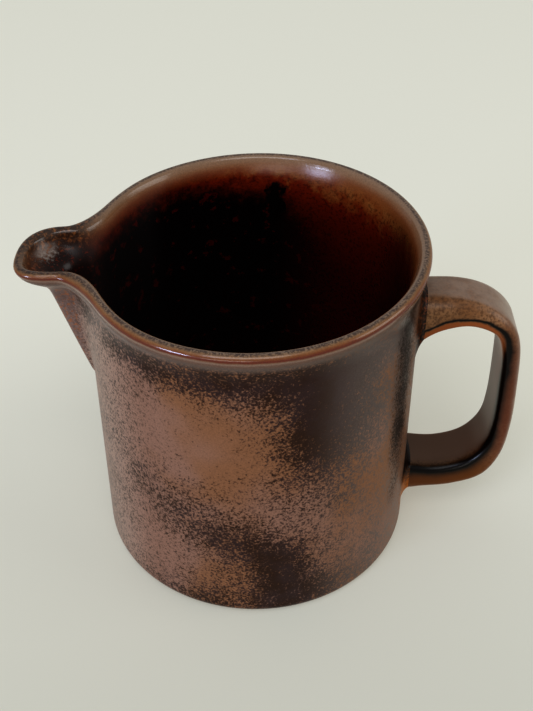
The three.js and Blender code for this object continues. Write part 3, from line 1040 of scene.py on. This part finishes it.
def strap_glaze():
    """Specked brown, redder at the grip, with painted shine on the top arm's crown and painted highlights
    along the outer corners.
    """
    graph = Graph("handle_glaze")
    place = graph.place()
    way = graph.attribute("way")
    along = graph.attribute("along")
    mottle = graph.noise(place, 160.0, 3.0, 0.6)
    fine = graph.noise(place, 1300.0, 2.0, 0.6)
    colour = graph.blend(graph.step(mottle, 0.35, 0.65), STRAP_BROWN, STRAP_TAN)
    colour = graph.blend(graph.step(fine, 0.38, 0.7), colour, STRAP_SPECK)
    grip = graph.times(graph.step(along, 0.16, 0.44), graph.step(along, 0.86, 0.6))
    colour = graph.blend(graph.times(grip, 0.85), colour, STRAP_GRIP)

    # Painted shine: the middle of the top arm's outer face is paled, as if it mirrored the light from
    # above.
    crown = graph.step(graph.attribute("crown"), 0.9, 0.99)
    crown = graph.times(crown, graph.step(along, 0.5, 0.3))
    crown = graph.times(crown, graph.step(mottle, 0.3, 0.6, 0.45, 0.75))
    colour = graph.blend(crown, colour, STRAP_PAINTED_TOP_SHINE)
    # Painted highlight: the strap's outer corners are paled, most along the grip, as if they caught the
    # light.
    ridge = graph.bell(graph.math("DIVIDE", graph.attribute("ridge"), 1.6))
    ridge = graph.times(ridge, graph.step(along, 0.86, 0.7, 0.25, 0.8))
    ridge = graph.times(ridge, graph.step(along, 0.14, 0.4, 0.15, 1.0))
    ridge = graph.times(ridge, graph.step(mottle, 0.3, 0.6, 0.6, 1.0))
    colour = graph.blend(ridge, colour, STRAP_PAINTED_EDGE_HIGHLIGHT)
    inner_face = graph.times(graph.step(way, 0.0, 3.5), graph.step(way, 16.5, 13.0))
    inner_face = graph.times(inner_face, graph.step(along, 0.3, 0.62))
    colour = graph.blend(inner_face, colour, STRAP_INNER_FACE)
    colour = strap_corner_amber_and_reflection(graph, place, way, along, colour)
    graph.shade(colour, 0.28, 0.3, graph.bump(graph.noise(place, 300.0), 0.2, 0.0001))
    return graph.material


def pooled_glaze():
    """The thick glaze on the joints: dark and orange above, dark and amber below."""
    graph = Graph("joint_glaze")
    place = graph.place()
    fine = graph.noise(place, 1100.0, 3.0, 0.6)
    settled = settled_height(graph, place, fine)
    upper = graph.blend(graph.step(fine, 0.44, 0.72), POOL_DARK, POOL_ORANGE)
    colour = graph.blend(graph.step(settled, 0.05, 0.04), upper, lower_pool(graph, settled))
    graph.shade(colour, 0.34, 0.25)
    return graph.material


# ---- Stage ----------------------------------------------------------------------------------------

FLOOR_HALF_SIZE = 6000.0

LIGHT_AIM = (0.0, 0.0, 0.05)

# Each lamp's name, place in metres, width and height in metres, watts and colour.
LIGHTS = [
    ("high_front", (-0.15, -0.85, 1.45), (1.1, 0.8), 5.0, (0.97, 0.98, 1.0)),
    ("sky_patch", (-0.63, -1.04, 1.36), (0.24, 0.2), 0.6, (0.36, 0.48, 1.0)),
    ("window", (-1.3, -1.2, 0.28), (0.46, 0.34), 9.0, (0.62, 0.72, 1.0)),
    ("front_glow", (-0.5, -1.75, 0.28), (0.9, 0.26), 2.4, (1.0, 0.98, 0.96)),
    ("right_wall", (1.4, -0.3, 0.6), (1.0, 0.7), 3.4, (1.0, 1.0, 0.98)),
]


def make_floor():
    """Pale paper with painted shade, darker in front of the jug than behind it, and a glow of its own
    that lightens the shadows on it.
    """
    corners = np.array([(-1, -1, 0), (1, -1, 0), (1, 1, 0), (-1, 1, 0)], dtype=float)
    floor = make_object("floor", corners * FLOOR_HALF_SIZE, [(0, 1, 2, 3)])
    graph = Graph("floor_paper")
    far = graph.step(graph.split(graph.place())[1], -0.16, 0.12)
    colour = graph.blend(far, PAPER_NEAR_PAINTED_SHADE, PAPER_FAR)
    graph.shade(colour, 0.9, 0.1)
    # The paper glows in its own colour: painted light that lightens the shadows on it.
    graph.put(graph.shader.inputs["Emission Color"], colour)
    graph.shader.inputs["Emission Strength"].default_value = 0.3
    floor.data.materials.append(graph.material)


def area_light(name, place, size, power, colour):
    data = bpy.data.lights.new(name, "AREA")
    data.shape = "RECTANGLE"
    data.size, data.size_y = size
    data.energy = power
    data.color = colour
    light = bpy.data.objects.new(name, data)
    light.location = place
    light.rotation_mode = "QUATERNION"
    light.rotation_quaternion = (Vector(LIGHT_AIM) - Vector(place)).to_track_quat("-Z", "Y")
    bpy.context.scene.collection.objects.link(light)


def make_lights():
    world = bpy.data.worlds.new("studio")
    world.use_nodes = True
    background = world.node_tree.nodes["Background"]
    background.inputs["Color"].default_value = (1.0, 1.0, 0.98, 1.0)
    background.inputs["Strength"].default_value = 0.36
    bpy.context.scene.world = world
    for light in LIGHTS:
        area_light(*light)


# ---- Assembly -------------------------------------------------------------------------------------

body_piece, spout_piece = make_vessel()
strap_rows, strap_attributes = handle_rows()
handle_piece = make_handle(strap_rows, strap_attributes)
upper_joint = make_joint("upper_joint_fillet", strap_rows[:JOINT_ROWS], UPPER_JOINT_SPREAD)
lower_joint = make_joint("lower_joint_fillet", strap_rows[::-1][:JOINT_ROWS], LOWER_JOINT_SPREAD)

vessel_materials = (
    vessel_glaze("outside_glaze", specular=0.2, roughness=0.28, frosted=0.2, neck=0.0),
    vessel_glaze("lip_glaze", specular=0.7, roughness=0.17, frosted=0.0, neck=0.0),
    vessel_glaze("inside_glaze", specular=0.4, roughness=0.24, frosted=0.0, neck=0.4),
)
glaze_by_region(body_piece, vessel_materials)
glaze_by_region(spout_piece, vessel_materials)
handle_piece.data.materials.append(strap_glaze())
joint_material = pooled_glaze()
for joint in (upper_joint, lower_joint):
    joint.data.materials.append(joint_material)

for piece, node, slot in (
    (body_piece, "jug_body", "body_glaze"),
    (spout_piece, "pouring_spout", "spout_glaze"),
    (handle_piece, "handle", "handle_glaze"),
    (upper_joint, "upper_handle_joint", "joint_glaze"),
    (lower_joint, "lower_handle_joint", "joint_glaze"),
):
    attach(piece, "root")
    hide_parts(node)

make_floor()
make_lights()
bpy.context.scene.view_settings.view_transform = "Standard"
bpy.context.scene.view_settings.look = "High Contrast"
